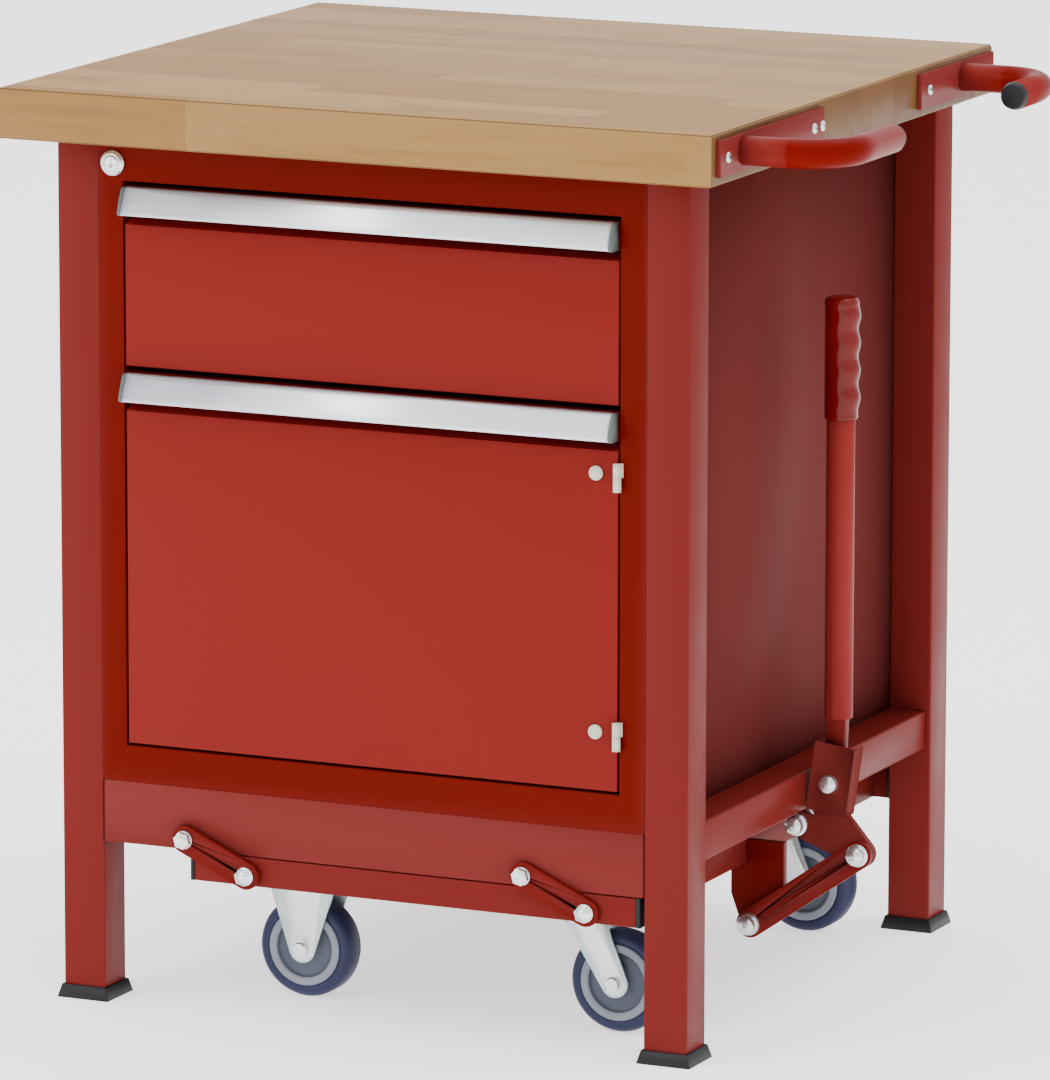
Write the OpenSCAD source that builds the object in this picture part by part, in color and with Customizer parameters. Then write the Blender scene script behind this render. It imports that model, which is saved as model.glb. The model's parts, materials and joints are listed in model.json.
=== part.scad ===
// Workbench with one drawer and one cupboard on a lever-operated caster chassis.
// Frame: X to the right, Y to the back, Z up; origin on the floor under the middle of the box.
// Lengths in millimetres. Working positions are counted from the worktop's front left corner.

/* [Worktop] */
// Worktop length from left to right
top_w = 750; // [600:10:1200]
// Worktop depth from front to back
top_d = 700; // [600:10:800]
// Worktop thickness
top_t = 50; // [30:1:60]
// Height of the worktop's upper face
top_h = 905; // [800:5:1000]

/* [Frame] */
// Side of the square leg tube
leg = 45; // [35:1:60]
// Worktop overhang at the left and right ends
over_x = 41; // [10:1:80]
// Distance from worktop front edge to the leg faces
over_y = 46; // [10:1:80]
// Wall of the steel tubes
wall = 2; // [1.5:0.5:4]
// Height of the plastic foot boots
foot_h = 13; // [8:1:25]

/* [Cabinet] */
// Underside of the cabinet
cab_z = 223; // [200:1:300]
// Width of the upright face stiles
stile = 26; // [18:1:40]
// Height of the upper face border
border_top = 40; // [25:1:60]
// Height of the lower face border
border_bot = 36; // [20:1:60]
// Top of the door
door_z1 = 628; // [450:1:700]
// Height of the shelf
shelf_z = 430; // [300:5:560]

/* [Handles] */
// Outer radius of the handle tubes
hand_r = 14; // [10:1:20]
// Radius of the bend on its centre line
hand_bend = 50; // [35:1:70]
// Reach of the handle's centre line past the worktop end
hand_reach = 100; // [80:1:140]

/* [Casters] */
// Wheel radius
wheel_r = 50; // [40:1:62]
// Wheel width
wheel_w = 32; // [24:1:40]
// Swivel offset between king pin and axle
trail = 32; // [20:1:45]

/* [Hidden] */
$fn = 48;
leg_x0 = over_x;
leg_x1 = top_w - over_x - leg;
leg_y0 = over_y;
leg_y1 = top_d - leg;
in_x0 = leg_x0 + leg;
in_x1 = leg_x1;
face_y = leg_y0;
back_y = top_d;
top_z0 = top_h - top_t;
org_x = (top_w + hand_reach + hand_r) / 2;
stud_out = 15;
org_y = (top_d + stud_out) / 2;
open_x0 = in_x0 + stile;
open_x1 = in_x1 - stile;
open_z0 = cab_z + border_bot;
open_z1 = top_z0 - border_top;
front_x0 = open_x0 + 2.5;
front_x1 = open_x1 - 2.5;
door_z0 = open_z0 + 3;
drw_z0 = door_z1 + 7;
drw_z1 = open_z1 - 5;
rail_z0 = 161;
rail_h = 62;
side_z0 = 190;
side_h = 39;
arm_ax = [178, 540];
arm_az = 172.5;
arm_dx = 66;
arm_dz = -30;
arm_w = 27;
arm_t = 7;
pin_r = 4;
run_fit = 0.05;
seam = 0.05;
bar_z0 = 131;
bar_h = 29;
bar_x0 = 185;
bar_x1 = 656;
fix_x = 258;
swv_x = 562;
wheel_y = [155, 615];
axle_z = wheel_r + 0.5;
hinge_x = front_x1 + 1.5;
hinge_y = face_y - 5;
hinge_z = [566.5, 316.5];
hinge_cap_x = 613.5;
lock_x = in_x0 + 16;
lock_z = top_z0 - 23;
p1 = [730, 219];
p2 = [697, 176];
p3 = [763, 152];
p4 = [649, 72];
lever_x = 734;
lever_y = 355;
hand_z = 883;
hand_y0 = 65;
hand_y1 = 612;
tail_front = 80;
tail_rear = 53;
cap_h = 7;
runner_z = 690;
slide_y0 = 78;
slide_y1 = 560;
tray_x0 = 127;
tray_h = 120;

steel_red = [0.52, 0.10, 0.06];
front_red = [0.60, 0.12, 0.05];
beech = [0.75, 0.60, 0.42];
alu = [0.78, 0.80, 0.83];
zinc = [0.72, 0.77, 0.78];
black = [0.05, 0.05, 0.06];
grey = [0.30, 0.33, 0.32];
hub_grey = [0.36, 0.38, 0.44];
tyre_blue = [0.16, 0.17, 0.30];
bright = [0.82, 0.83, 0.82];
cream = [0.86, 0.84, 0.76];

// name of the one sub-part to show, or all

// Shift from the working corner to the shared origin.
module at_origin() {
  translate([-org_x, -org_y, 0]) children();
}

// Box given by its two corners.
module box(a, b) {
  translate(a) cube([b[0] - a[0], b[1] - a[1], b[2] - a[2]]);
}

// Square tube along one axis, open at both ends.
module tube_x(a, b) {
  difference() {
    box(a, b);
    box([a[0] - 1, a[1] + wall, a[2] + wall], [b[0] + 1, b[1] - wall, b[2] - wall]);
  }
}

module tube_y(a, b) {
  difference() {
    box(a, b);
    box([a[0] + wall, a[1] - 1, a[2] + wall], [b[0] - wall, b[1] + 1, b[2] - wall]);
  }
}

module tube_z(a, b) {
  difference() {
    box(a, b);
    box([a[0] + wall, a[1] + wall, a[2] - 1], [b[0] - wall, b[1] - wall, b[2] + 1]);
  }
}

// Cylinder along Y between two depths, centre given in X and Z.
module rod_y(c, y0, y1, r) {
  translate([c[0], y1, c[1]]) rotate([90, 0, 0]) cylinder(h = y1 - y0, r = r);
}

// Hexagonal bolt head along Y.
module hex_y(c, y0, y1, r) {
  translate([c[0], y1, c[1]]) rotate([90, 15, 0]) cylinder(h = y1 - y0, r = r * 1.08, $fn = 6);
}

// Flat plate in an XZ plane between two depths; children draw it in X and Z.
module plate_xz(y0, y1) {
  translate([0, y1, 0]) rotate([90, 0, 0]) linear_extrude(y1 - y0) children();
}

// Profile in Y and Z drawn out along X.
module along_x(x0, x1) {
  translate([x0, 0, 0]) rotate([90, 0, 90]) linear_extrude(x1 - x0) children();
}

// Solid worktop with softly broken edges.
module worktop() {
  c = 2;
  color(beech) at_origin() hull() {
    box([c, c, top_z0], [top_w - c, top_d - c, top_h]);
    box([0, 0, top_z0 + c], [top_w, top_d, top_h - c]);
  }
}

module leg_at(x, y) {
  color(steel_red) at_origin() tube_z([x, y, 3], [x + leg, y + leg, top_z0]);
}

module leg_front_left() {
  leg_at(leg_x0, leg_y0);
}

module leg_front_right() {
  leg_at(leg_x1, leg_y0);
}

module leg_rear_left() {
  leg_at(leg_x0, leg_y1);
}

module leg_rear_right() {
  leg_at(leg_x1, leg_y1);
}

// Flared boots that cup the leg ends.
module feet() {
  h = foot_h;
  color(black) at_origin() for (x = [leg_x0, leg_x1], y = [leg_y0, leg_y1])
    translate([x + leg / 2, y + leg / 2, 0]) difference() {
      rotate([0, 0, 45])
        cylinder(h = h, r1 = 28 * sqrt(2), r2 = 24.5 * sqrt(2), $fn = 4);
      translate([0, 0, h / 2 + 3]) cube([leg + 0.1, leg + 0.1, h], center = true);
    }
}

module rail_front() {
  color(steel_red) at_origin()
    tube_x([in_x0, face_y, rail_z0], [in_x1, face_y + 30, rail_z0 + rail_h]);
}

module rail_rear() {
  color(steel_red) at_origin()
    tube_x([in_x0, back_y - 30, rail_z0], [in_x1, back_y, rail_z0 + rail_h]);
}

module side_rail(x0) {
  color(steel_red) at_origin()
    tube_y([x0, leg_y0 + leg, side_z0], [x0 + leg - 5, leg_y1, side_z0 + side_h]);
}

module rail_left() {
  side_rail(leg_x0 + 5);
}

module rail_right() {
  side_rail(leg_x1);
}

// Face plate around drawer and door with returns behind its inner edges.
module cab_frame() {
  color(steel_red) at_origin() difference() {
    union() {
      box([in_x0, face_y, cab_z], [in_x1, face_y + 3, top_z0]);
      box([open_x0 - 2, face_y, open_z0 - 2], [open_x1 + 2, face_y + 20, open_z1 + 2]);
      box([in_x0, face_y, top_z0 - 3], [in_x1, face_y + 20, top_z0]);
      box([in_x0, face_y, cab_z], [in_x1, face_y + 20, cab_z + 3]);
    }
    box([open_x0, face_y - 1, open_z0], [open_x1, face_y + 21, open_z1]);
  }
}

module cab_side_left() {
  color(steel_red) at_origin()
    box([in_x0, face_y + 31, cab_z], [in_x0 + 2, back_y - 1, top_z0]);
}

module cab_side_right() {
  color(steel_red) at_origin()
    box([in_x1 - 2, face_y + 31, cab_z], [in_x1, back_y - 1, top_z0]);
}

module cab_back() {
  color(steel_red) at_origin()
    box([in_x0 + 2, leg_y1 - 2, cab_z], [in_x1 - 2, leg_y1, top_z0]);
}

module cab_floor() {
  color(steel_red) at_origin()
    box([in_x0 + 2, face_y + 20, open_z0 - 4], [in_x1 - 2, leg_y1 - 2, open_z0 - 2]);
}

module cab_divider() {
  color(steel_red) at_origin()
    box([in_x0 + 2, face_y + 20, door_z1 + 2.5], [in_x1 - 2, leg_y1 - 2, door_z1 + 4.5]);
}

module cab_shelf() {
  color(steel_red) at_origin()
    box([in_x0 + 2, face_y + 30, shelf_z], [in_x1 - 2, leg_y1 - 2, shelf_z + 2]);
}

// Strip of sheet that carries each bent handle on the worktop's right end.
module handle_plates() {
  color(steel_red) at_origin() for (y = [[10, 258], [502, 692]])
    box([top_w, y[0], 864], [top_w + 5, y[1], 899]);
}

// Bent tube: out from the plate, then along the worktop end.
module handle_one(tail) {
  s = hand_reach - hand_bend;
  r = hand_r;
  ri = hand_r - 2.5;
  translate([top_w + 5, 0, hand_z]) {
    rotate([0, 90, 0]) difference() {
      cylinder(h = s - 5, r = r, $fn = 32);
      translate([0, 0, -1]) cylinder(h = s, r = ri, $fn = 24);
    }
    translate([s - 5, hand_bend, 0]) rotate([0, 0, -90])
      rotate_extrude(angle = 90, $fn = 48) translate([hand_bend, 0]) difference() {
        circle(r = r, $fn = 32);
        circle(r = ri, $fn = 24);
      }
    translate([hand_reach - 5, hand_bend, 0]) rotate([-90, 0, 0]) difference() {
      cylinder(h = tail, r = r, $fn = 32);
      translate([0, 0, -1]) cylinder(h = tail + 2, r = ri, $fn = 24);
    }
  }
}

module handle_tubes() {
  color(front_red) at_origin() {
    translate([0, hand_y0, 0]) handle_one(tail_front);
    translate([0, hand_y1, 0]) mirror([0, 1, 0]) handle_one(tail_rear);
  }
}

module handle_caps() {
  color(black) at_origin() {
    translate([top_w + hand_reach, hand_y0 + hand_bend + tail_front, hand_z]) rotate([-90, 0, 0])
      cylinder(h = cap_h, r1 = hand_r, r2 = hand_r - 2);
    translate([top_w + hand_reach, hand_y1 - hand_bend - tail_rear, hand_z]) rotate([90, 0, 0])
      cylinder(h = cap_h, r1 = hand_r, r2 = hand_r - 2);
  }
}

// Hanging bracket with the crank's pivot pin and cap nut.
module crank_bracket() {
  color(bright) at_origin() {
    plate_xz(352, 360) hull() {
      translate(p2) circle(r = 12);
      translate([676, side_z0 - 3]) square([26, 3]);
    }
    box([668, 352, side_z0 - 4], [702, 392, side_z0]);
    rod_y(p2, 336, 353, 5);
    rod_y(p2, 334, 342.8, 8);
    rod_y(p2, 328, 334, 5.5);
  }
}

// Studs with hexagonal heads that carry the arms on front and rear rails.
module stud_front(c) {
  rod_y(c, face_y - 1, face_y, 8);
  rod_y(c, face_y - 10, face_y, pin_r);
  translate([0, face_y - 8.3 - 5, 0]) {
    rod_y(c, 3.6, 5, 9);
    hex_y(c, -1.7, 4, 8);
  }
}

module stud_rear(c) {
  rod_y(c, back_y, back_y + 1, 8);
  rod_y(c, back_y, back_y + 10, pin_r);
  rod_y(c, back_y + 8.3, back_y + 9.7, 9);
  hex_y(c, back_y + 9, back_y + stud_out, 8);
}

module rail_bolts() {
  color(bright) at_origin() for (x = arm_ax) {
    stud_front([x, arm_az]);
    stud_rear([x, arm_az]);
  }
}

// Outer drawer slide members on spacers at both cabinet walls.
module runners_fixed() {
  z = runner_z;
  color(zinc) at_origin() for (m = [0, 1])
    translate([m * (in_x0 + in_x1), 0, 0]) mirror([m, 0, 0]) {
      box([117, slide_y0, z], [119, slide_y1, z + 45]);
      for (y = [84, 320, 520]) box([in_x0 + 2, y, z + 5], [118, y + 30, z + 40]);
    }
}

module lock_bezel() {
  color(bright) at_origin() difference() {
    union() {
      rod_y([lock_x, lock_z], face_y - 3, face_y, 12.3);
      rod_y([lock_x, lock_z], face_y - 5.5, face_y - 2, 10.5);
    }
    rod_y([lock_x, lock_z], face_y - 7, face_y + 1, 8);
  }
}

// Lock barrel with a key slot.
module lock_plug() {
  color(bright) at_origin() difference() {
    rod_y([lock_x, lock_z], face_y - 6, face_y - 0.1, 8 - run_fit);
    box([lock_x - 1, face_y - 7, lock_z - 4], [lock_x + 1, face_y - 2.5, lock_z + 4]);
  }
}

// Upper half of each door hinge with its pin, fixed to the right stile.
module hinge_posts() {
  color(cream) at_origin() for (z = hinge_z) {
    translate([hinge_x, hinge_y, z]) cylinder(h = 13.5, r = 4, $fn = 32);
    translate([hinge_x, hinge_y, z - 13]) cylinder(h = 14, r = 2, $fn = 24);
    box([hinge_x, face_y - 2, z], [hinge_x + 4.5, face_y, z + 13.5]);
  }
}

// Lower half of each door hinge and the round fixing cap beside it.
module door_hinges() {
  color(cream) at_origin() for (z = hinge_z) {
    difference() {
      union() {
        translate([hinge_x, hinge_y, z - 13.5]) cylinder(h = 13.3, r = 4, $fn = 32);
        box([hinge_x - 5, face_y - 2, z - 13.5], [hinge_x - 0.5, face_y, z - 0.2]);
      }
      translate([hinge_x, hinge_y, z - 14]) cylinder(h = 15, r = 2 + run_fit, $fn = 24);
    }
    rod_y([hinge_cap_x, z + 2.5], face_y - 2.5, face_y, 7);
  }
}

// Folded sheet front: face, sloping fold, finger recess, top and bottom flanges.
module folded_front(z0, z1) {
  t = 2;
  zp = z1 - 37;
  y = face_y;
  along_x(front_x0, front_x1) {
    translate([y, z0]) square([t, zp - z0]);
    translate([y, z0]) square([16, t]);
    polygon([[y, zp - 2], [y, zp], [y + 14, zp + 7], [y + 16, zp + 7], [y + 16, zp + 5]]);
    translate([y + 14, zp + 5]) square([t, z1 - zp - 5]);
    translate([y, z1 - t]) square([16, t]);
  }
  for (x = [front_x0, front_x1 - t])
    along_x(x, x + t)
      polygon([[y, z0], [y, zp], [y + 14, zp + 7], [y + 14, z1], [y + 16, z1], [y + 16, z0]]);
}

// Hollow slanted grip with a lip along its lower edge.
module grip(z1) {
  y = face_y;
  along_x(front_x0 + 3, front_x1 - 3) {
    difference() {
      polygon([[y, z1], [y - 4.5, z1], [y - 7, z1 - 1], [y - 9, z1 - 4], [y - 13.6, z1 - 14],
        [y - 17, z1 - 23], [y - 17, z1 - 26], [y, z1 - 26]]);
      polygon([[y + 1, z1 - 2], [y - 4, z1 - 2], [y - 6, z1 - 3], [y - 7.5, z1 - 5.5],
        [y - 11.8, z1 - 15], [y - 15, z1 - 23.5], [y - 15, z1 - 27], [y + 1, z1 - 27]]);
    }
    translate([y - 17, z1 - 26]) square([4, 2]);
  }
}

// Plastic end caps that close the grip.
module grip_caps(z1) {
  y = face_y;
  for (x = [front_x0, front_x1 - 3])
    along_x(x, x + 3)
      polygon([[y, z1], [y - 5, z1], [y - 8, z1 - 1], [y - 10, z1 - 4], [y - 14.5, z1 - 14],
        [y - 17.5, z1 - 23], [y - 17.5, z1 - 25], [y - 15, z1 - 27], [y, z1 - 27]]);
}

module drawer_front() {
  color(front_red) at_origin() folded_front(drw_z0, drw_z1);
}

module drawer_grip() {
  color(alu) at_origin() grip(drw_z1);
}

module drawer_grip_caps() {
  color(grey) at_origin() grip_caps(drw_z1);
}

// Drawer tray of separate sheets with hairline seams, and its inner front plate.
module drawer_box() {
  x0 = tray_x0;
  x1 = in_x0 + in_x1 - tray_x0;
  y0 = face_y + 18 + seam;
  y1 = slide_y1;
  z = drw_z0 + 10;
  color(steel_red) at_origin() {
    box([front_x0 + 2, face_y + 16, drw_z0 + 2], [front_x1 - 2, face_y + 18, drw_z1 - 2]);
    box([x0, y0, z], [x1, y1, z + 2]);
    for (x = [x0, x1 - 2]) box([x, y0, z + 2 + seam], [x + 2, y1, z + tray_h]);
    box([x0 + 2 + seam, y1 - 2, z + 2 + seam], [x1 - 2 - seam, y1, z + tray_h]);
  }
}

// Middle slide members that travel half as far as the drawer.
module runners_mid() {
  z = runner_z;
  color(zinc) at_origin() for (m = [0, 1])
    translate([m * (in_x0 + in_x1), 0, 0]) mirror([m, 0, 0])
      box([120, slide_y0, z + 8], [126, slide_y1, z + 37]);
}

module door_panel() {
  color(front_red) at_origin() {
    folded_front(door_z0, door_z1);
    box([front_x0 + 2, face_y + 14, door_z0 + 2], [front_x1 - 2, face_y + 16, door_z1 - 30]);
  }
}

module door_grip() {
  color(alu) at_origin() grip(door_z1);
}

module door_grip_caps() {
  color(grey) at_origin() grip_caps(door_z1);
}

module chassis_bar_front() {
  color(steel_red) at_origin()
    tube_x([bar_x0, face_y, bar_z0], [bar_x1, face_y + 30, bar_z0 + bar_h]);
}

module chassis_bar_rear() {
  color(steel_red) at_origin()
    tube_x([bar_x0, back_y - 30, bar_z0], [bar_x1, back_y, bar_z0 + bar_h]);
}

// Cross tubes from front to back: over both caster pairs and at the lever.
module chassis_sides() {
  color(steel_red) at_origin() for (x = [[200, 228], [240, 276], [544, 580], [612, 642]])
    tube_y([x[0], face_y + 30, bar_z0], [x[1], back_y - 30, bar_z0 + bar_h - 2]);
}

module chassis_caps() {
  color(black) at_origin() for (x = [bar_x0 - 4, bar_x1], y = [face_y, back_y - 30])
    box([x, y, bar_z0], [x + 4, y + 30, bar_z0 + bar_h]);
}

module chassis_bolts() {
  color(bright) at_origin() for (x = arm_ax) {
    stud_front([x + arm_dx, arm_az + arm_dz]);
    stud_rear([x + arm_dx, arm_az + arm_dz]);
  }
}

// Chassis plate that takes the link, with its pin and cap nut.
module link_plate() {
  color(steel_red) at_origin() {
    plate_xz(343, 351) {
      hull() {
        translate(p4) circle(r = 12);
        translate([626, 100]) square([56, bar_z0 - 100]);
      }
      translate([642, bar_z0 - 1]) square([40, 25]);
    }
    rod_y(p4, 332, 344, 5);
    rod_y(p4, 331, 334.6, 11);
    rod_y(p4, 327, 332, 8);
    rod_y(p4, 322, 328, 5.5);
  }
}

// One pair of fork cheeks around a wheel; top edge centred at tx, axle at ax.
module cheeks(tx, tw, tz, ax) {
  for (s = [-1, 1])
    translate([0, s * 19.5, 0]) plate_xz(-1.5, 1.5) hull() {
      translate([ax, axle_z]) circle(r = 14, $fn = 32);
      translate([tx - tw / 2, tz - 2]) square([tw, 2]);
    }
  rod_y([ax, axle_z], -23, 23, pin_r);
  for (s = [-1, 1]) translate([0, s * 23.5, 0]) rod_y([ax, axle_z], -2.5, 2.5, 7.5);
}

// Fixed forks on the left, top plates with king pins on the right.
module caster_plates() {
  color(zinc) at_origin() for (y = wheel_y) translate([0, y, 0]) {
    box([fix_x - 42, -32, bar_z0 - 4], [fix_x + 42, 32, bar_z0]);
    cheeks(fix_x, 78, bar_z0 - 4, fix_x);
    box([swv_x - 42, -32, bar_z0 - 4], [swv_x + 42, 32, bar_z0]);
    translate([swv_x, 0, 107]) cylinder(h = bar_z0 - 3 - 107, r = 6);
  }
}

// Turning fork: bearing cup, crown and slanted cheeks.
module fork_swivel(y) {
  color(zinc) at_origin() translate([0, y, 0]) {
    difference() {
      union() {
        translate([swv_x, 0, 106]) cylinder(h = 8, r = 24);
        translate([swv_x, 0, 112]) cylinder(h = bar_z0 - 4.5 - 112, r1 = 30, r2 = 27);
      }
      translate([swv_x, 0, 100]) cylinder(h = 40, r = 6 + run_fit);
    }
    cheeks(swv_x, 44, 112, swv_x + trail);
  }
}

module fork_swivel_front() {
  fork_swivel(wheel_y[0]);
}

module fork_swivel_rear() {
  fork_swivel(wheel_y[1]);
}

// Tread ring with rounded shoulders.
module tyre_at(x, y) {
  w = wheel_w / 2;
  r = wheel_r;
  color(tyre_blue) at_origin() translate([x, y, axle_z]) rotate([90, 0, 0])
    rotate_extrude($fn = 64)
      polygon([[38, -w + 1], [r - 6, -w], [r - 2, -w + 3], [r, -w + 8],
        [r, w - 8], [r - 2, w - 3], [r - 6, w], [38, w - 1]]);
}

// Hub with boss, dished disc and raised rim.
module hub_at(x, y) {
  color(hub_grey) at_origin() translate([x, y, axle_z]) rotate([90, 0, 0])
    rotate_extrude($fn = 48)
      polygon([[pin_r + run_fit, -17.5], [11, -17.5], [13, -13], [28, -12], [30, -15.5],
        [38, -15.5], [38, 15.5], [30, 15.5], [28, 12], [13, 13], [11, 17.5],
        [pin_r + run_fit, 17.5]]);
}

module tyre_front_left() {
  tyre_at(fix_x, wheel_y[0]);
}

module tyre_front_right() {
  tyre_at(swv_x + trail, wheel_y[0]);
}

module tyre_rear_left() {
  tyre_at(fix_x, wheel_y[1]);
}

module tyre_rear_right() {
  tyre_at(swv_x + trail, wheel_y[1]);
}

module hub_front_left() {
  hub_at(fix_x, wheel_y[0]);
}

module hub_front_right() {
  hub_at(swv_x + trail, wheel_y[0]);
}

module hub_rear_left() {
  hub_at(fix_x, wheel_y[1]);
}

module hub_rear_right() {
  hub_at(swv_x + trail, wheel_y[1]);
}

// Crank plate with bored pivot, link pin, and the welded channel that holds the lever.
module crank() {
  color(steel_red) at_origin() {
    difference() {
      plate_xz(343, 351) {
        hull() {
          translate(p2) circle(r = 13);
          translate(p3) circle(r = 14);
        }
        hull() {
          translate(p3) circle(r = 14);
          translate([714, 176]) square([26, 24]);
        }
      }
      rod_y(p2, 342, 352, 5 + run_fit);
    }
    rod_y(p3, 334, 344, 5);
    rod_y(p3, 330, 334.7, 8.5);
    rod_y(p3, 325, 331, 5.5);
    translate([p1[0], 0, p1[1]]) rotate([0, 8, 0]) difference() {
      box([-21, 343, -30], [21, 366, 39]);
      box([-18, 347, -15], [18, 367, 40]);
    }
    rod_y(p1, 346, 364, pin_r);
    rod_y(p1, 360.5, 364, 7.5);
    rod_y(p1, 339, 344, 8.5);
    rod_y(p1, 335, 340, 5.5);
  }
}

// Lever: flat foot with the pivot bore, then a round tube.
module lever_tube() {
  color(front_red) at_origin() difference() {
    union() {
      plate_xz(350, 360) hull() {
        translate(p1) circle(r = 10);
        translate([724, 292]) square([20, 8]);
      }
      translate([lever_x, lever_y, 284]) cylinder(h = 406, r = 14);
    }
    rod_y(p1, 349, 361, pin_r + run_fit);
    translate([lever_x, lever_y, 304]) cylinder(h = 400, r = 12);
  }
}

// Soft hand grip with finger swells.
module lever_grip() {
  color(front_red) at_origin() translate([lever_x, lever_y, 0]) difference() {
    rotate_extrude($fn = 40)
      polygon([[0, 580], [16, 580], [18, 586], [17, 600], [18.5, 612], [17, 624], [18.5, 636],
        [17, 648], [18.5, 660], [17, 672], [18.5, 684], [18, 694], [14, 700], [0, 700]]);
    translate([0, 0, 579]) cylinder(h = 112, r = 14.05);
  }
}

// Flat link between crank pin and chassis plate pin.
module link() {
  color(steel_red) at_origin() difference() {
    plate_xz(335, 342) hull() {
      translate(p3) circle(r = 14);
      translate(p4) circle(r = 14);
    }
    rod_y(p3, 334, 343, 5 + run_fit);
    rod_y(p4, 334, 343, 6.6);
  }
}

// Flat arm with a bore at each end.
module arm_at(x, y0) {
  a = [x, arm_az];
  b = [x + arm_dx, arm_az + arm_dz];
  color(steel_red) at_origin() difference() {
    plate_xz(y0, y0 + arm_t) hull() {
      translate(a) circle(r = arm_w / 2);
      translate(b) circle(r = arm_w / 2);
    }
    rod_y(a, y0 - 1, y0 + arm_t + 1, pin_r + run_fit);
    rod_y(b, y0 - 1, y0 + arm_t + 1, pin_r + run_fit);
  }
}

module arm_front_left() {
  arm_at(arm_ax[0], face_y - 1 - arm_t);
}

module arm_front_right() {
  arm_at(arm_ax[1], face_y - 1 - arm_t);
}

module arm_rear_left() {
  arm_at(arm_ax[0], back_y + 1);
}

module arm_rear_right() {
  arm_at(arm_ax[1], back_y + 1);
}

worktop();
leg_front_left();
leg_front_right();
leg_rear_left();
leg_rear_right();
feet();
rail_front();
rail_rear();
rail_left();
rail_right();
cab_frame();
cab_side_left();
cab_side_right();
cab_back();
cab_floor();
cab_divider();
cab_shelf();
handle_plates();
handle_tubes();
handle_caps();
crank_bracket();
rail_bolts();
runners_fixed();
lock_bezel();
hinge_posts();
drawer_front();
drawer_box();
drawer_grip();
drawer_grip_caps();
runners_mid();
door_panel();
door_hinges();
door_grip();
door_grip_caps();
lock_plug();
chassis_bar_front();
chassis_bar_rear();
chassis_sides();
chassis_caps();
chassis_bolts();
link_plate();
caster_plates();
fork_swivel_front();
fork_swivel_rear();
tyre_front_left();
tyre_front_right();
tyre_rear_left();
tyre_rear_right();
hub_front_left();
hub_front_right();
hub_rear_left();
hub_rear_right();
crank();
lever_tube();
lever_grip();
link();
arm_front_left();
arm_front_right();
arm_rear_left();
arm_rear_right();
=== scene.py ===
"""Looks of a steel workbench with a beech top, one drawer and one door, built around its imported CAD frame."""
import json
import math

import bmesh
import bpy
from mathutils import Matrix, Vector


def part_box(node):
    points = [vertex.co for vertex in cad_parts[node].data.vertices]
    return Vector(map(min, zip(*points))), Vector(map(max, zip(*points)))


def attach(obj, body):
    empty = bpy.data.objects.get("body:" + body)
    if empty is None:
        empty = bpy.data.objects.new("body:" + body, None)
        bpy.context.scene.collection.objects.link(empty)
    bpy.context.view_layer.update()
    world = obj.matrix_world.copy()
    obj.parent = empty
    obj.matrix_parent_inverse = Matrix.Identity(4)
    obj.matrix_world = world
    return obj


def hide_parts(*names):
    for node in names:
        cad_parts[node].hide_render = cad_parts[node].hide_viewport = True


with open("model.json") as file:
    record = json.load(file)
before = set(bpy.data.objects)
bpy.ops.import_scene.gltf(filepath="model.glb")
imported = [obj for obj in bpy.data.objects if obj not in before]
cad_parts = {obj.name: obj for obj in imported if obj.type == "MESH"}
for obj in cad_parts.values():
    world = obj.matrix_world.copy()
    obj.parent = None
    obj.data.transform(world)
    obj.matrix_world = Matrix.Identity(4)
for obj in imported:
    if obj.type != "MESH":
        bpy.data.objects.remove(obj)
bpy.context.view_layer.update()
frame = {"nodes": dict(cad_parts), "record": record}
NODES = frame["nodes"]
MM = 0.001

# low refraction keeps the colours from washing out in the white studio
COAT_IOR = 1.16
PLASTIC_IOR = 1.3
WOOD_IOR = 1.2
STAVE_W = 42 * MM
STAVE_L = 520 * MM
# fraction of a stave's length by which each row is shifted from the one before
STAVE_SHIFT = 0.6180


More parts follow.
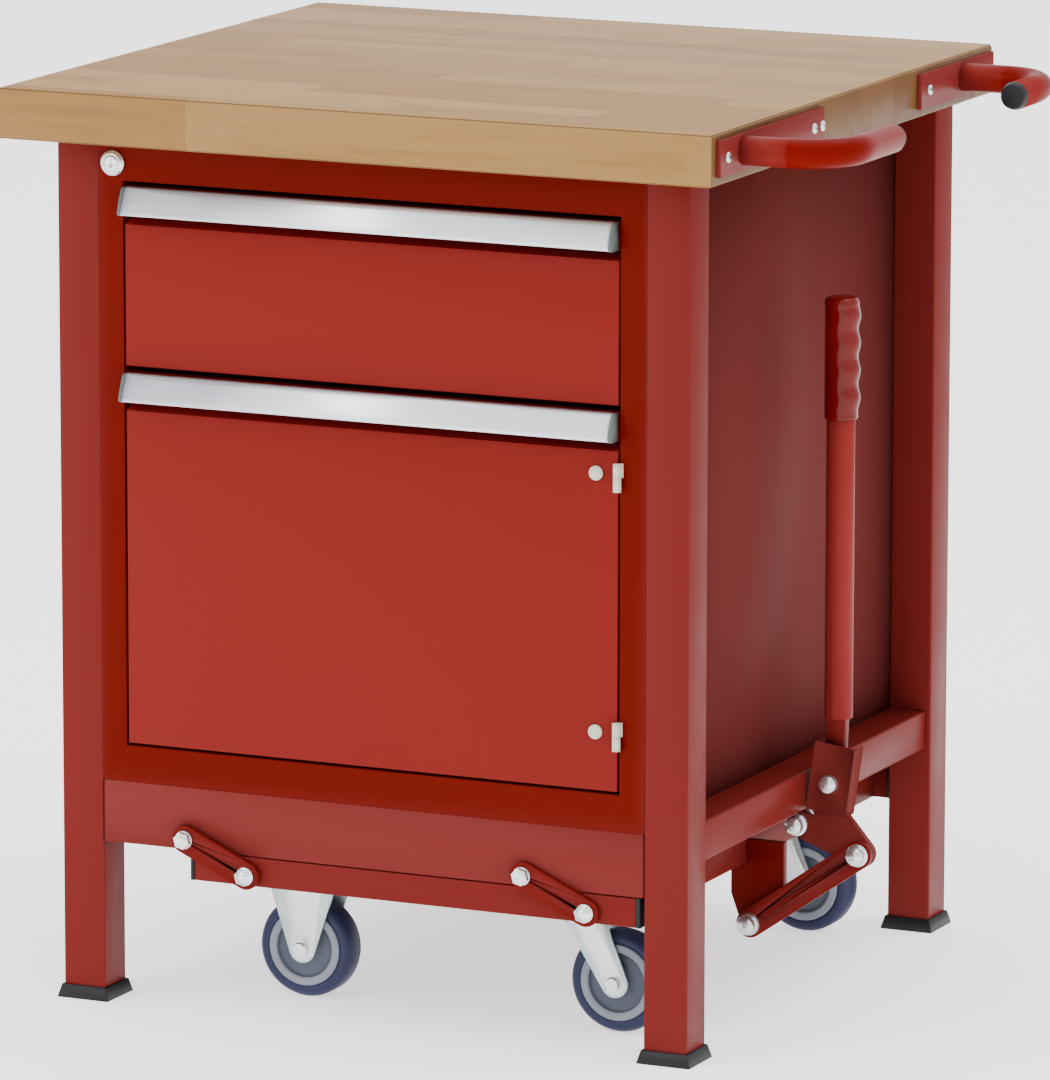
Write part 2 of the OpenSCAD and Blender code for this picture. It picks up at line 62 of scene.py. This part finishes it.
# ---------------------------------------------------------------- materials
class Mat:
    """A Principled material with small helpers for procedural detail."""

    def __init__(self, name, color, rough, metallic=0.0):
        self.mat = bpy.data.materials.new(name)
        self.mat.use_nodes = True
        self.tree = self.mat.node_tree
        self.bsdf = self.tree.nodes["Principled BSDF"]
        self.bsdf.inputs["Base Color"].default_value = (*color, 1)
        self.bsdf.inputs["Roughness"].default_value = rough
        self.bsdf.inputs["Metallic"].default_value = metallic
        self.coord = self.tree.nodes.new("ShaderNodeTexCoord").outputs["Object"]
        self.height = None

    def node(self, kind, **values):
        n = self.tree.nodes.new(kind)
        for key, value in values.items():
            if key in n.inputs:
                n.inputs[key].default_value = value
            else:
                setattr(n, key, value)
        return n

    def link(self, a, b):
        self.tree.links.new(a, b)

    def scaled(self, scale, offset=(0, 0, 0)):
        m = self.node("ShaderNodeMapping")
        m.inputs["Scale"].default_value = scale
        m.inputs["Location"].default_value = offset
        self.link(self.coord, m.inputs["Vector"])
        return m.outputs["Vector"]

    def noise(self, scale, detail=3.0, vector=None, rough=0.5):
        n = self.node("ShaderNodeTexNoise", Scale=scale, Detail=detail, Roughness=rough)
        self.link(vector or self.coord, n.inputs["Vector"])
        return n.outputs["Fac"]

    def remap(self, value, lo, hi, a, b):
        n = self.node("ShaderNodeMapRange")
        for key, v in (("From Min", lo), ("From Max", hi), ("To Min", a), ("To Max", b)):
            n.inputs[key].default_value = v
        self.link(value, n.inputs["Value"])
        return n.outputs["Result"]

    def ramp(self, value, stops):
        n = self.node("ShaderNodeValToRGB")
        el = n.color_ramp.elements
        while len(el) < len(stops):
            el.new(0.5)
        for e, (pos, col) in zip(el, stops):
            e.position = pos
            e.color = (*col, 1)
        self.link(value, n.inputs["Fac"])
        return n.outputs["Color"]

    def mix(self, fac, a, b, blend="MIX"):
        n = self.node("ShaderNodeMix", data_type="RGBA", blend_type=blend)
        for socket, v in ((n.inputs[0], fac), (n.inputs[6], a), (n.inputs[7], b)):
            if hasattr(v, "is_output"):
                self.link(v, socket)
            elif isinstance(v, tuple):
                socket.default_value = (*v, 1)
            else:
                socket.default_value = v
        return n.outputs[2]

    def color(self, socket):
        self.link(socket, self.bsdf.inputs["Base Color"])

    def rough(self, socket):
        self.link(socket, self.bsdf.inputs["Roughness"])

    def bump(self, value, distance, strength=1.0):
        n = self.node("ShaderNodeBump", Distance=distance, Strength=strength)
        self.link(value, n.inputs["Height"])
        if self.height:
            self.link(self.height, n.inputs["Normal"])
        self.height = n.outputs["Normal"]
        self.link(self.height, self.bsdf.inputs["Normal"])

    def wear(self, color, edge, lo=0.53, hi=0.60, amount=0.6):
        """Lightens convex edges: color is a socket or tuple, edge the rubbed colour."""
        point = self.node("ShaderNodeNewGeometry").outputs["Pointiness"]
        fac = self.remap(point, lo, hi, 0.0, amount)
        self.color(self.mix(fac, color, edge))


def powder(name, color, dark, rough=0.32, gloss=0.3):
    """Glossy powder coat with a fine orange peel; gloss is the specular level."""
    m = Mat(name, color, rough)
    m.bsdf.inputs["IOR"].default_value = COAT_IOR
    m.bsdf.inputs["Specular IOR Level"].default_value = gloss
    cloud = m.noise(2.2, 4.0)
    base = m.mix(m.remap(cloud, 0.35, 0.65, 0.0, 1.0), dark, color)
    m.wear(base, tuple(min(1.0, 1.5 * c + 0.03) for c in color))
    m.rough(m.remap(m.noise(9.0, 5.0), 0.3, 0.7, rough - 0.05, rough + 0.09))
    m.bump(m.noise(420.0, 2.0), 0.00012, 0.35)
    return m.mat


def steel(name, color, rough, spangle=60.0, amount=0.18):
    """Zinc plated steel with soft cloudy patches."""
    m = Mat(name, color, rough, metallic=0.85)
    cloud = m.noise(spangle, 5.0)
    dark = tuple(c * (1 - amount) for c in color)
    m.wear(m.mix(m.remap(cloud, 0.35, 0.65, 0.0, 1.0), dark, color), (0.92, 0.94, 0.95))
    m.rough(m.remap(m.noise(30.0, 4.0), 0.3, 0.7, rough - 0.08, rough + 0.1))
    m.bump(m.noise(260.0, 3.0), 0.00008, 0.3)
    return m.mat


def plastic(name, color, rough, grain=900.0, depth=0.00008):
    """Moulded plastic or rubber with a fine grain."""
    m = Mat(name, color, rough)
    m.bsdf.inputs["IOR"].default_value = PLASTIC_IOR
    cloud = m.noise(14.0, 4.0)
    light = tuple(min(1.0, c * 1.35 + 0.004) for c in color)
    m.wear(m.mix(m.remap(cloud, 0.35, 0.7, 0.0, 0.8), color, light), light)
    m.rough(m.remap(m.noise(22.0, 4.0), 0.3, 0.7, rough - 0.07, rough + 0.08))
    m.bump(m.noise(grain, 2.0), depth, 0.5)
    return m.mat


def aluminium(name, color):
    """Satin anodised extrusion with lines along X."""
    m = Mat(name, color, 0.34, metallic=0.8)
    lines = m.noise(1.0, 3.0, m.scaled((2.0, 1500.0, 1500.0)))
    m.color(m.mix(m.remap(lines, 0.3, 0.7, 0.0, 1.0), tuple(c * 0.9 for c in color), color))
    m.rough(m.remap(m.noise(1.0, 3.0, m.scaled((1.5, 300.0, 300.0))), 0.3, 0.7, 0.28, 0.42))
    m.bump(lines, 0.00003, 0.4)
    return m.mat


def beech(name):
    """Glued beech staves along X: finger lengths, growth lines, ray flecks and end grain."""
    m = Mat(name, (0.5, 0.36, 0.22), 0.45)
    m.bsdf.inputs["IOR"].default_value = WOOD_IOR
    sep = m.node("ShaderNodeSeparateXYZ")
    m.link(m.coord, sep.inputs[0])

    def math_(op, a, b):
        n = m.node("ShaderNodeMath", operation=op)
        for socket, v in zip(n.inputs, (a, b)):
            if hasattr(v, "is_output"):
                m.link(v, socket)
            else:
                socket.default_value = v
        return n.outputs[0]

    row = math_("FLOOR", math_("DIVIDE", sep.outputs["Y"], STAVE_W), 0.0)
    shift = math_("FRACT", math_("MULTIPLY", row, STAVE_SHIFT), 0.0)
    col = math_("FLOOR", math_("ADD", math_("DIVIDE", sep.outputs["X"], STAVE_L), shift), 0.0)
    cell = m.node("ShaderNodeCombineXYZ")
    m.link(row, cell.inputs[0])
    m.link(col, cell.inputs[1])
    white = m.node("ShaderNodeTexWhiteNoise", noise_dimensions="3D")
    m.link(cell.outputs[0], white.inputs["Vector"])
    # each stave reads its grain from a different place
    place = m.node("ShaderNodeVectorMath", operation="MULTIPLY_ADD")
    m.link(white.outputs["Color"], place.inputs[0])
    place.inputs[1].default_value = (3.0, 3.0, 3.0)
    m.link(m.coord, place.inputs[2])
    stretch = m.node("ShaderNodeMapping")
    stretch.inputs["Scale"].default_value = (1.6, 26.0, 26.0)
    m.link(place.outputs[0], stretch.inputs["Vector"])
    grain = m.noise(2.6, 6.0, stretch.outputs["Vector"], 0.62)
    fine = m.noise(1.0, 3.0, m.scaled((40.0, 900.0, 900.0)))
    fleck = m.noise(1.0, 2.0, m.scaled((150.0, 700.0, 700.0)))
    tone = m.ramp(white.outputs["Value"], [
        (0.0, (0.240, 0.122, 0.038)),
        (0.5, (0.290, 0.160, 0.054)),
        (1.0, (0.330, 0.192, 0.070)),
    ])
    rings = m.ramp(grain, [
        (0.30, (0.74, 0.68, 0.60)),
        (0.52, (1.0, 1.0, 1.0)),
        (0.72, (0.86, 0.80, 0.72)),
    ])
    c = m.mix(0.75, tone, rings, "MULTIPLY")
    c = m.mix(m.remap(fleck, 0.62, 0.75, 0.0, 0.35), c, (0.22, 0.12, 0.06))
    c = m.mix(m.remap(fine, 0.55, 0.8, 0.0, 0.25), c, (0.30, 0.19, 0.10))
    # thin darker glue lines between rows
    across = math_("FRACT", math_("DIVIDE", sep.outputs["Y"], STAVE_W), 0.0)
    edge = math_("ABSOLUTE", math_("SUBTRACT", across, 0.5), 0.0)
    c = m.mix(m.remap(edge, 0.488, 0.5, 0.0, 0.35), c, (0.20, 0.12, 0.07))
    # end grain is darker
    geo = m.node("ShaderNodeNewGeometry")
    nrm = m.node("ShaderNodeSeparateXYZ")
    m.link(geo.outputs["Normal"], nrm.inputs[0])
    end = math_("ABSOLUTE", nrm.outputs["X"], 0.0)
    end_grain = m.mix(1.0, c, (0.34, 0.24, 0.17), "MULTIPLY")
    c = m.mix(m.remap(end, 0.6, 0.9, 0.0, 0.95), c, end_grain)
    m.wear(c, (0.32, 0.19, 0.09), 0.55, 0.65, 0.4)
    m.rough(m.remap(grain, 0.3, 0.7, 0.38, 0.54))
    m.bump(fine, 0.00010, 0.4)
    m.bump(grain, 0.00015, 0.25)
    return m.mat


MATS = {
    "frame_red": powder("red_powder_frame", (0.108, 0.0022, 0.0005), (0.100, 0.0020, 0.0005), 0.34),
    "front_red": powder("red_powder_front", (0.138, 0.0018, 0.0), (0.130, 0.0016, 0.0), 0.32),
    "cabinet_red": powder(
        "red_powder_cabinet", (0.070, 0.0012, 0.0002), (0.064, 0.0010, 0.0002), 0.42, 0.1),
    "beech": beech("beech_staves"),
    "black_plastic": plastic("black_moulding", (0.006, 0.006, 0.007), 0.48),
    "grip_vinyl": plastic("red_vinyl", (0.110, 0.0016, 0.0010), 0.14, 60.0, 0.0001),
    "bright_zinc": steel("bright_zinc", (0.68, 0.70, 0.72), 0.22, 90.0, 0.08),
    "cream_paint": powder("cream_paint", (0.42, 0.40, 0.32), (0.38, 0.36, 0.29), 0.4),
    "anodised": aluminium("satin_anodised", (0.80, 0.84, 0.92)),
    "grey_plastic": plastic("grey_moulding", (0.075, 0.090, 0.085), 0.5),
    "zinc": steel("blue_zinc", (0.52, 0.59, 0.61), 0.36),
    "blue_tyre": plastic("blue_tread", (0.016, 0.019, 0.052), 0.5, 500.0, 0.0001),
    "hub_plastic": plastic("grey_hub", (0.060, 0.070, 0.095), 0.45),
}
RING = plastic("light_ring", (0.170, 0.185, 0.220), 0.45)
# near-black plastic for the screws' cross recesses: painted shade where the hollow would be shadowed
PAINTED_SHADE = plastic("painted_recess_shade", (0.004, 0.003, 0.003), 0.7)


# ---------------------------------------------------------------- CAD nodes
BEVEL_ANGLE = 35


def bevel(obj, width):
    """Rounds the sharp edges by a small width."""
    mod = obj.modifiers.new("edge", "BEVEL")
    mod.width = width
    mod.segments = 2
    mod.limit_method = "ANGLE"
    mod.angle_limit = math.radians(BEVEL_ANGLE)
    mod.use_clamp_overlap = True
    mod.harden_normals = True


# bevel width in millimetres by the start of the node's name
BEVELS = {
    "worktop": 1.6, "leg": 2.2, "rail": 2.0, "chassis_bar": 1.8, "chassis_sides": 1.8,
    "cab_frame": 0.5, "drawer_front": 0.45, "door_panel": 0.45, "handle_plates": 0.9,
    "feet": 0.9, "arm": 0.6, "link": 0.6, "crank": 0.5, "caster_plates": 0.4,
    "fork": 0.4, "handle_caps": 0.8, "chassis_caps": 0.7,
}
SLOT = {s["node"]: s["material_slot"] for s in frame["record"]["subparts"]}


def finish_of(name):
    """The side walls are darker and duller than the frame that shares their slot."""
    return MATS["cabinet_red" if name.startswith("cab_side") else SLOT[name]]


for name, obj in NODES.items():
    obj.data.materials.clear()
    obj.data.materials.append(finish_of(name))
    for key, width in BEVELS.items():
        if name.startswith(key) and not name.endswith("bracket"):
            bevel(obj, width * MM)
            break


# ---------------------------------------------------------------- added pieces
def mesh_piece(name, verts, faces, mat, body, smooth=30):
    """A mesh that rides on a body; edges over smooth degrees stay sharp."""
    me = bpy.data.meshes.new(name)
    me.from_pydata(verts, [], faces)
    bm = bmesh.new()
    bm.from_mesh(me)
    bmesh.ops.recalc_face_normals(bm, faces=bm.faces)
    bm.to_mesh(me)
    bm.free()
    for p in me.polygons:
        p.use_smooth = True
    me.set_sharp_from_angle(angle=math.radians(smooth))
    me.materials.append(mat)
    ob = bpy.data.objects.new(name, me)
    bpy.context.scene.collection.objects.link(ob)
    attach(ob, body)
    return ob


def lathe(name, origin, axis, profile, mat, body, steps=40, smooth=40, swell=None):
    """Turns (radius, height) pairs about axis; the first and last point close on the axis."""
    z = Vector(axis).normalized()
    x = z.orthogonal().normalized()
    if abs(z.z) > 0.9:
        x = Vector((1, 0, 0))
    y = z.cross(x)
    o = Vector(origin)
    verts, faces = [], []
    for r, h in profile:
        for i in range(steps):
            a = 2 * math.pi * i / steps
            rr = r + (swell(a, h) if swell else 0.0)
            verts.append(o + x * (rr * math.cos(a)) + y * (rr * math.sin(a)) + z * h)
    for j in range(len(profile) - 1):
        for i in range(steps):
            k = (i + 1) % steps
            faces.append((j * steps + i, j * steps + k, (j + 1) * steps + k, (j + 1) * steps + i))
    faces.append(tuple(range(steps))[::-1])
    last = (len(profile) - 1) * steps
    faces.append(tuple(range(last, last + steps)))
    return mesh_piece(name, verts, faces, mat, body, smooth)


def dome(r, h, base=0.0, n=8):
    """Profile of a rounded head."""
    return [(r, 0.0), (r, base)] + [
        (r * math.cos(math.pi / 2 * i / n), base + h * math.sin(math.pi / 2 * i / n)) for i in range(1, n)
    ] + [(r * 0.02, base + h)]


ZINC = MATS["bright_zinc"]
top_lo, top_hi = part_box("worktop")
plate_lo, plate_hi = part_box("handle_plates")
# the worktop's front left corner, on the floor
corner = Vector((top_lo.x, top_lo.y, 0))
PIVOT = {j["name"]: j.get("pos_m") for j in frame["record"]["behaviour"]["joints"]}

# handle screws: distance behind the worktop's front edge, in millimetres
SCREW_DEPTHS = (27, 232, 252, 523, 684)
SCREW_R = 5.2 * MM
SCREW_DOME = 2.2 * MM
SCREW_RIM = 0.7 * MM
RECESS_OUT = 2.6 * MM
RECESS_W = 0.9 * MM
RECESS_L = 4.2 * MM
BOX_FACES = [(0, 1, 3, 2), (4, 6, 7, 5), (0, 4, 5, 1), (2, 3, 7, 6), (0, 2, 6, 4), (1, 5, 7, 3)]


def box_corners(centre, size):
    """The eight corners of an upright box."""
    half = (-0.5, 0.5)
    return [
        centre + Vector((a * size[0], b * size[1], c * size[2]))
        for a in half for b in half for c in half
    ]


def handle_screw(name, at):
    """Pan head facing right; its cross recess is two near-black boxes on the dome, painted shade."""
    head = dome(SCREW_R, SCREW_DOME, SCREW_RIM)
    lathe(name, at, (1, 0, 0), head, ZINC, "bench", 28)
    centre = at + Vector((RECESS_OUT, 0, 0))
    # the cross recess: two thin near-black bars set into the dome as painted shade, not a cut hollow
    for j, (w, h) in enumerate(((RECESS_W, RECESS_L), (RECESS_L, RECESS_W))):
        corners = box_corners(centre, (RECESS_W, w, h))
        mesh_piece(f"{name}_painted_shade_{j + 1}", corners, BOX_FACES, PAINTED_SHADE, "bench")


screw_z = (plate_lo.z + plate_hi.z) / 2
for i, depth in enumerate(SCREW_DEPTHS):
    handle_screw(f"handle_screw_{i + 1}", Vector((plate_hi.x, corner.y + depth * MM, screw_z)))

# domed cap nuts, which cover the plain heads of the lever pins
NUT_SEAT = 8.0 * MM
NUT_R = 9.0 * MM
NUT_DOME = 5.0 * MM
NUT_H = 5.5 * MM
WASHER_R = 11.3 * MM
WASHER_SPAN = (-4.9 * MM, -1.6 * MM)
# front end of the lever pin, behind the worktop's front edge
LEVER_PIN_TIP = 335 * MM
# the link's lower pin, from the corner
LINK_LOW_X = 649 * MM
LINK_LOW_Z = 72 * MM


def cap_nut(name, x, z, tip, body):
    """Washer and domed nut facing the front; tip is the pin's front end."""
    profile = [(WASHER_R, h) for h in WASHER_SPAN] + dome(NUT_R, NUT_DOME, NUT_H)
    lathe(name, (x, tip + NUT_SEAT, z), (0, -1, 0), profile, ZINC, body, 40)


crank_pin = PIVOT["lift_lever"]
link_pin = PIVOT["link_pivot"]
lever_pin = PIVOT["lever_fold"]
cap_nut("cap_nut_bracket", crank_pin[0], crank_pin[2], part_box("crank_bracket")[0].y, "bench")
cap_nut("cap_nut_link_top", link_pin[0], link_pin[2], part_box("crank")[0].y, "crank")
cap_nut("cap_nut_lever", lever_pin[0], lever_pin[2], corner.y + LEVER_PIN_TIP, "crank")
cap_nut("cap_nut_link_low", corner.x + LINK_LOW_X, LINK_LOW_Z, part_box("link_plate")[0].y, "chassis")

# half the hub's width at its rim
RIM_HALF = 15.5 * MM
# ring section: distance in from the hub's rim, and out from its face, in millimetres
RING_SECTION = ((8.5, -3.5), (8.0, 0.2), (6.5, 1.2), (1.5, 1.2), (0.2, 0.3), (0.2, -3.5))
RING_STEPS = 64


def middle(node):
    """Centre of a node's box."""
    lo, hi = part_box(node)
    return (lo + hi) / 2


def wheel_ring(name, hub, side, body):
    """Light ring on one face of a hub; side is -1 for the front face and 1 for the rear."""
    lo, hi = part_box(hub)
    centre = (lo + hi) / 2
    rim = (hi.x - lo.x) / 2
    verts = []
    for inset, out in RING_SECTION:
        for i in range(RING_STEPS):
            a = 2 * math.pi * i / RING_STEPS
            r = rim - inset * MM
            spoke = Vector((r * math.cos(a), side * (RIM_HALF + out * MM), r * math.sin(a)))
            verts.append(centre + spoke)
    rows = len(RING_SECTION)
    faces = []
    for j in range(rows):
        here, there = j * RING_STEPS, (j + 1) % rows * RING_STEPS
        for i in range(RING_STEPS):
            k = (i + 1) % RING_STEPS
            faces.append((here + i, here + k, there + k, there + i))
    mesh_piece(name, verts, faces, RING, body)


SIDES = ((-1, "a"), (1, "b"))
for end in ("front", "rear"):
    for hand in ("left", "right"):
        for side, tag in SIDES:
            ring = f"wheel_ring_{end}_{hand}_{tag}"
            wheel_ring(ring, f"hub_{end}_{hand}", side, f"wheel_{end}_{hand}")

AXLE_Z = 50.5 * MM
PANEL_BACK = 20.8 * MM
PANEL_FACE = 22.4 * MM
PANEL_BEVEL = 2.6 * MM
BOLT_SEAT = 22.0 * MM
# washer and head of the axle bolt: radius and height in millimetres
BOLT_PROFILE = ((9.5, 0), (9.5, 1.2), (7.8, 1.3), (7.8, 5.0), (6.6, 6.0), (0.2, 6.0))
ARC_STEPS = 8


def panel_outline(axle_x, top_x, top_z, half_top, half_low):
    """Half round below the axle, then up to a straight top edge, in X and Z."""
    points = []
    for i in range(ARC_STEPS + 1):
        a = math.pi + math.pi * i / ARC_STEPS
        points.append((axle_x + half_low * math.cos(a), AXLE_Z + half_low * math.sin(a)))
    return points + [(top_x + half_top, top_z), (top_x - half_top, top_z)]


def fork_panel(name, body, top_x, axle_x, mid_y, top_z, half_top, half_low):
    """Pressed panel and axle bolt on both cheeks of a fork."""
    outer = panel_outline(axle_x, top_x, top_z, half_top, half_low)
    inner = panel_outline(axle_x, top_x, top_z, half_top - PANEL_BEVEL, half_low - PANEL_BEVEL)
    k = len(outer)
    faces = [tuple(range(k)), tuple(range(k, 2 * k))]
    faces += [(i, (i + 1) % k, k + (i + 1) % k, k + i) for i in range(k)]
    bolt = [(r * MM, h * MM) for r, h in BOLT_PROFILE]
    for side, tag in SIDES:
        verts = [(x, mid_y + side * PANEL_BACK, z) for x, z in outer]
        verts += [(x, mid_y + side * PANEL_FACE, z) for x, z in inner]
        mesh_piece(f"{name}_{tag}", verts, faces, MATS["zinc"], body, 50)
        seat = (axle_x, mid_y + side * BOLT_SEAT, AXLE_Z)
        lathe(f"{name}_bolt_{tag}", seat, (0, side, 0), bolt, ZINC, body, 24)


# distance between a swivel fork's king pin and its axle
TRAIL = 32 * MM
for end in ("front", "rear"):
    c = middle(f"hub_{end}_left")
    fork_panel(f"fixed_fork_{end}_panel", "chassis", c.x, c.x, c.y, 126.5 * MM, 23 * MM, 12.5 * MM)
    c = middle(f"hub_{end}_right")
    fork_panel(
        f"swivel_fork_{end}_panel", f"swivel_{end}", c.x - TRAIL, c.x, c.y, 111.5 * MM, 13 * MM, 12.0 * MM)

# hand grip: finger swells on its outer side, between two plain ends
g_lo, g_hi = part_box("lever_grip")
grip_mid = (g_lo + g_hi) / 2
grip_h = g_hi.z - g_lo.z
SWELLS = 4.0
SWELL_H = 2.6 * MM
SWELL_START = 0.06
SWELL_END = 0.96
SWELL_SPAN = 0.9
# grip profile in millimetres: radius and height up from the foot, then down from the top
GRIP_FOOT = ((14.2, 0.0), (16.0, 0.4), (16.8, 2.5))
GRIP_TOP = ((16.9, 7.0), (16.8, 4.0), (15.4, 1.4), (13.0, 0.2), (0.3, 0.0))
GRIP_R = 16.4 * MM
GRIP_STEP = 1.5


def swell(a, h):
    """Extra radius of the grip at an angle and a height."""
    t = h / grip_h
    if not SWELL_START < t < SWELL_END:
        return 0.0
    side = max(0.0, math.cos(a)) ** 1.5
    turn = 2 * math.pi * SWELLS * (t - SWELL_START) / SWELL_SPAN
    return side * SWELL_H * (0.5 - 0.5 * math.cos(turn))


rings = int((grip_h / MM - 12) / GRIP_STEP)
profile = [(r * MM, h * MM) for r, h in GRIP_FOOT]
profile += [(GRIP_R, (4 + i * GRIP_STEP) * MM) for i in range(rings)]
profile += [(r * MM, grip_h - h * MM) for r, h in GRIP_TOP]
grip = lathe(
    "lever_vinyl_grip", (grip_mid.x, grip_mid.y, g_lo.z), (0, 0, 1), profile,
    MATS["grip_vinyl"], "lever", 48, 50, swell)
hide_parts("lever_grip")


# ---------------------------------------------------------------- smooth CAD shading
WELD_GAP = 0.02 * MM
SHARP_ANGLE = 28
for obj in NODES.values():
    weld = obj.modifiers.new("weld", "WELD")
    weld.merge_threshold = WELD_GAP
    # the weld comes before the bevel, so the bevel sees joined faces
    obj.modifiers.move(len(obj.modifiers) - 1, 0)
    for p in obj.data.polygons:
        p.use_smooth = True
    obj.data.set_sharp_from_angle(angle=math.radians(SHARP_ANGLE))


# ---------------------------------------------------------------- floor, light, camera
FLOOR_SIZE = 60
FLOOR_GLOW = 1.0
WORLD_LIGHT = 1.7


def pale_floor():
    """A large white floor that glows a little, so it stays pale under the bench."""
    bpy.ops.mesh.primitive_plane_add(size=FLOOR_SIZE, location=(0, 0, 0))
    floor = bpy.context.object
    floor.name = "floor"
    m = Mat("pale_floor", (0.95, 0.95, 0.95), 0.6)
    m.bsdf.inputs["Emission Color"].default_value = (1, 1, 1, 1)
    m.bsdf.inputs["Emission Strength"].default_value = FLOOR_GLOW
    m.bsdf.inputs["Specular IOR Level"].default_value = 0.0
    floor.data.materials.append(m.mat)


def white_world():
    """Even white light from all round."""
    world = bpy.data.worlds.new("studio")
    bpy.context.scene.world = world
    world.use_nodes = True
    background = world.node_tree.nodes["Background"]
    background.inputs["Color"].default_value = (1, 1, 1, 1)
    background.inputs["Strength"].default_value = WORLD_LIGHT


def area(name, at, to, size, power):
    """A rectangular soft light at one point, aimed at another."""
    data = bpy.data.lights.new(name, "AREA")
    data.shape = "RECTANGLE"
    data.size, data.size_y = size
    data.energy = power
    ob = bpy.data.objects.new(name, data)
    ob.location = at
    ob.rotation_euler = (Vector(to) - Vector(at)).to_track_quat("-Z", "Y").to_euler()
    bpy.context.scene.collection.objects.link(ob)


pale_floor()
white_world()
area("key", (-2.2, -3.2, 2.6), (0, 0, 0.4), (2.2, 2.2), 62)
area("top", (0.3, 0.2, 3.6), (0, 0, 0.5), (3.0, 3.0), 60)
area("side", (3.6, -0.6, 1.9), (0, 0, 0.5), (1.6, 2.2), 5)

SENSOR_MM = 36.0
LENS_MM = 290.73
# turned left, tipped down and rolled, in degrees
YAW, PITCH, ROLL = (math.radians(v) for v in (24.774, 10.995, 0.086))
CAMERA_FROM_CORNER = Vector((3.9455, -7.3348, 2.0775))


def add_camera():
    """A long lens from the front right, a little above the top."""
    data = bpy.data.cameras.new("camera")
    data.sensor_width = SENSOR_MM
    data.lens = LENS_MM
    data.clip_end = 100
    cam = bpy.data.objects.new("camera", data)
    ahead = Vector((-math.sin(YAW), math.cos(YAW), 0))
    level = Vector((math.cos(YAW), math.sin(YAW), 0))
    fwd = ahead * math.cos(PITCH) - Vector((0, 0, 1)) * math.sin(PITCH)
    rise = Vector((0, 0, 1)) * math.cos(PITCH) + ahead * math.sin(PITCH)
    right = level * math.cos(ROLL) + rise * math.sin(ROLL)
    up = rise * math.cos(ROLL) - level * math.sin(ROLL)
    place = corner + CAMERA_FROM_CORNER
    cam.matrix_world = Matrix((
        (right.x, up.x, -fwd.x, place.x),
        (right.y, up.y, -fwd.y, place.y),
        (right.z, up.z, -fwd.z, place.z),
        (0, 0, 0, 1),
    ))
    bpy.context.scene.collection.objects.link(cam)
    bpy.context.scene.camera = cam


add_camera()
